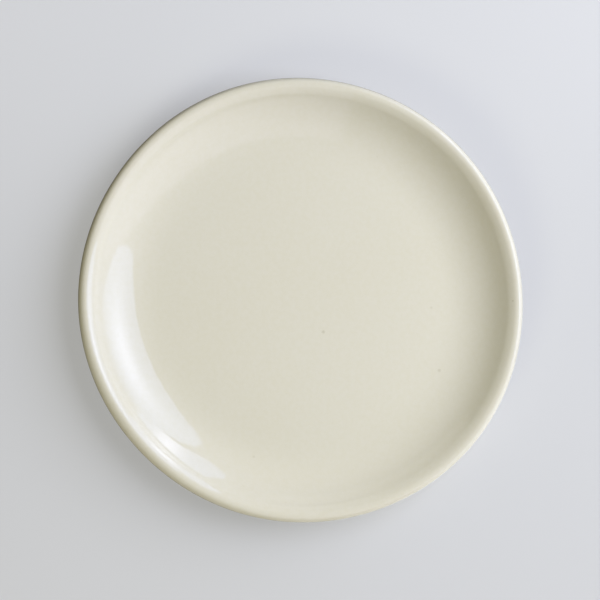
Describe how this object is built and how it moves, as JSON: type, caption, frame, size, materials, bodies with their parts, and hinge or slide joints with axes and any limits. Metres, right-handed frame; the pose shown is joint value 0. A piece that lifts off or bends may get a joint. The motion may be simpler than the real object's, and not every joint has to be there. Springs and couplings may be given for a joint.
{
  "type": "coupe salad plate",
  "caption": "Rimless coupe salad plate in cream glazed stoneware: broad flat well, coved wall, thick rounded lip and a bare foot ring; holds a serving of food and rests flat.",
  "frame": {"origin": "on the plate's axis, in the plane of the foot ring's underside, which is the table's surface", "axes": "+Z up along the plate's axis, out of the eating face; +X right and +Y up as the picture shows the face"},
  "size_m": [0.2112, 0.2112, 0.0233],
  "materials": {
    "bare_stoneware": "unglazed, fine sandy, with small iron specks",
    "cream_glaze": "glossy cream glaze with slight pooling, thinner at the lip, sparse iron pin-specks",
    "cream_glaze_recess": "glossy cream glaze inside the foot ring"
  },
  "bodies": {
    "root": {"stoneware_body": "bare_stoneware", "glaze_coat": "cream_glaze", "foot_recess_glaze": "cream_glaze_recess"}
  },
  "joints": []
}
